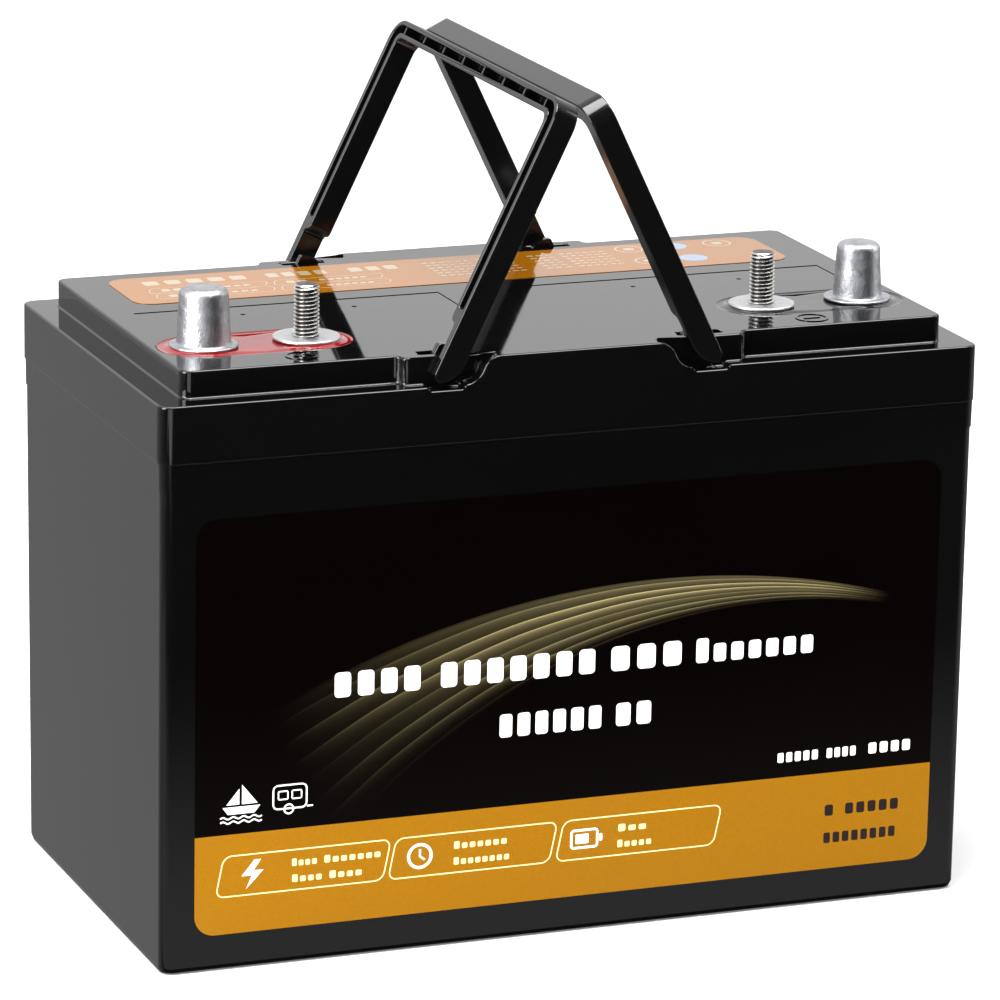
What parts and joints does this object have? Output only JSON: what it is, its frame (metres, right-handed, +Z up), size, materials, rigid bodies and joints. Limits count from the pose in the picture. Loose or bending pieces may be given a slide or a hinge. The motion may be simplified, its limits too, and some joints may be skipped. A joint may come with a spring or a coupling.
{
  "type": "deep cycle battery",
  "caption": "Sealed deep cycle leisure battery with tapered posts, threaded studs and two folding carry handles on a flanged cover.",
  "frame": {"origin": "centre of the case's underside", "axes": "+X along the length towards the negative end, +Y away from the large front label, +Z up"},
  "size_m": [0.3096, 0.1702, 0.3064],
  "materials": {
    "case_plastic": "gloss moulded polypropylene",
    "cover_plastic": "high gloss moulded",
    "sealing_bead": "cured adhesive",
    "rubber": "soft moulded",
    "handle_plastic": "satin moulded",
    "post_lead": "cast lead, dull and blotchy",
    "stud_steel": "rolled stainless thread",
    "stud_base_lead": "cast lead, dull",
    "inner_lead": "cast lead",
    "red_resin": "cast epoxy",
    "black_resin": "cast epoxy",
    "front_label_film": "printed film, gloss laminate",
    "top_label_film": "printed film, gloss laminate",
    "positive_paste": "cured lead dioxide paste",
    "negative_paste": "cured spongy lead paste",
    "glass_mat": "absorbent glass fibre mat"
  },
  "bodies": {
    "battery": {"case": "case_plastic", "cover": "cover_plastic", "cover_seal": "sealing_bead", "vent_plate_left": "cover_plastic", "vent_plate_right": "cover_plastic", "vent_valve_1": "rubber", "vent_valve_2": "rubber", "vent_valve_3": "rubber", "vent_valve_4": "rubber", "vent_valve_5": "rubber", "vent_valve_6": "rubber", "positive_post": "post_lead", "positive_stud": "stud_steel", "positive_stud_base": "stud_base_lead", "positive_terminal_bar": "inner_lead", "positive_resin": "red_resin", "positive_riser_seal": "rubber", "negative_post": "post_lead", "negative_stud": "stud_steel", "negative_stud_base": "stud_base_lead", "negative_terminal_bar": "inner_lead", "negative_resin": "black_resin", "negative_riser_seal": "rubber", "front_label": "front_label_film", "top_label": "top_label_film", "positive_plates_1": "positive_paste", "positive_plates_2": "positive_paste", "positive_plates_3": "positive_paste", "positive_plates_4": "positive_paste", "positive_plates_5": "positive_paste", "positive_plates_6": "positive_paste", "negative_plates_1": "negative_paste", "negative_plates_2": "negative_paste", "negative_plates_3": "negative_paste", "negative_plates_4": "negative_paste", "negative_plates_5": "negative_paste", "negative_plates_6": "negative_paste", "separators_1": "glass_mat", "separators_2": "glass_mat", "separators_3": "glass_mat", "separators_4": "glass_mat", "separators_5": "glass_mat", "separators_6": "glass_mat", "positive_strap_1": "inner_lead", "positive_strap_2": "inner_lead", "positive_strap_3": "inner_lead", "positive_strap_4": "inner_lead", "positive_strap_5": "inner_lead", "positive_strap_6": "inner_lead", "negative_strap_1": "inner_lead", "negative_strap_2": "inner_lead", "negative_strap_3": "inner_lead", "negative_strap_4": "inner_lead", "negative_strap_5": "inner_lead", "negative_strap_6": "inner_lead", "intercell_welds": "inner_lead"},
    "left_handle": {"handle_left": "handle_plastic"},
    "right_handle": {"handle_right": "handle_plastic"}
  },
  "joints": [
    {"name": "left_handle_hinge", "type": "hinge", "parent": "battery", "child": "left_handle", "pos_m": [-0.0491, 0, 0.2123], "axis": [0, 1, 0], "range_deg": [-115.7, 0]},
    {"name": "right_handle_hinge", "type": "hinge", "parent": "battery", "child": "right_handle", "pos_m": [0.0491, 0, 0.2123], "axis": [0, 1, 0], "range_deg": [0, 115.7]}
  ]
}
